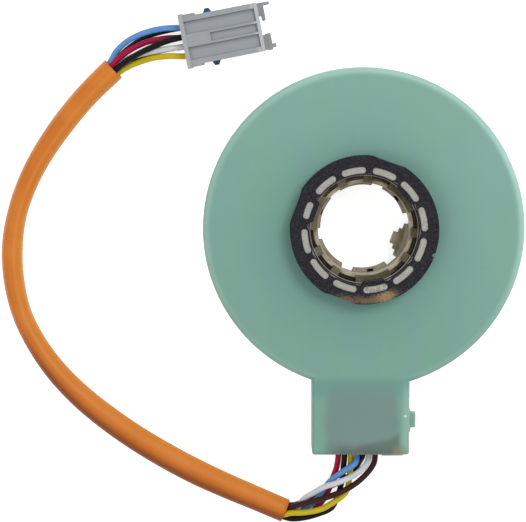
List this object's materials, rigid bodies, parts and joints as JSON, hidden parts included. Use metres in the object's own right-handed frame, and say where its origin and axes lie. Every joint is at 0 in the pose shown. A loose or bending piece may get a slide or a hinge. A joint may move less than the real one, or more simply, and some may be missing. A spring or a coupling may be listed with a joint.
{
  "type": "steering angle sensor",
  "caption": "Flat round sensor that fits round a steering shaft and reads its angle and twist through two keyed rotors, with a sleeved wire lead to a plug.",
  "frame": {"origin": "on the axis of the shaft bore, in the plane of the back face of the housing, which also rests on the table", "axes": "+Z along the shaft bore, from the back face towards the slotted drive ring; +Y from the bore axis away from the cable block; +X to the right when the drive ring is seen with the cable block below"},
  "size_m": [0.1312, 0.1316, 0.0166],
  "materials": {
    "housing": "translucent pale green, satin",
    "rear_cover": "translucent pale green, satin",
    "board": "green solder mask",
    "position_tracks": "carbon ink",
    "torque_tracks": "carbon ink",
    "pins": "bright",
    "washer": "smooth",
    "drive_ring": "fine grain, partly worn brown",
    "front_hub": "matt",
    "cage": "matt",
    "grip_ring": "soft",
    "position_wipers": "spring strip",
    "rear_rotor": "matt",
    "torque_wipers": "spring strip",
    "clamp": "satin",
    "potting": "cast resin",
    "wire_red": "soft insulation",
    "wire_black": "soft insulation",
    "wire_yellow": "soft insulation",
    "wire_light_blue": "soft insulation",
    "wire_dark_blue": "soft insulation",
    "wire_white": "soft insulation",
    "wire_brown": "soft insulation",
    "sleeve": "soft sleeve",
    "plug": "moulded",
    "lock": "moulded",
    "contacts": "tinned strip"
  },
  "bodies": {
    "housing": {"front_housing": "housing", "rear_cover": "rear_cover", "track_board": "board", "position_tracks": "position_tracks", "torque_tracks": "torque_tracks", "board_pins": "pins", "thrust_washer": "washer", "wire_clamp": "clamp", "potting": "potting", "wire_red": "wire_red", "wire_black": "wire_black", "wire_yellow": "wire_yellow", "wire_light_blue": "wire_light_blue", "wire_dark_blue": "wire_dark_blue", "wire_white": "wire_white", "wire_brown": "wire_brown", "cable_sleeve": "sleeve", "connector_housing": "plug", "contact_lock": "lock", "connector_contacts": "contacts"},
    "input_rotor": {"front_drive_ring": "drive_ring", "front_rotor_hub": "front_hub", "hub_cage": "cage", "grip_ring": "grip_ring", "position_wipers": "position_wipers"},
    "output_rotor": {"rear_rotor": "rear_rotor", "torque_wipers": "torque_wipers"}
  },
  "joints": [
    {"name": "input_turn", "type": "hinge", "parent": "housing", "child": "input_rotor", "pos_m": [0, 0, 0.0107], "axis": [0, 0, 1], "continuous": true},
    {"name": "torsion_lash", "type": "hinge", "parent": "input_rotor", "child": "output_rotor", "pos_m": [0, 0, 0.0028], "axis": [0, 0, 1], "range_deg": [-8, 8]}
  ]
}
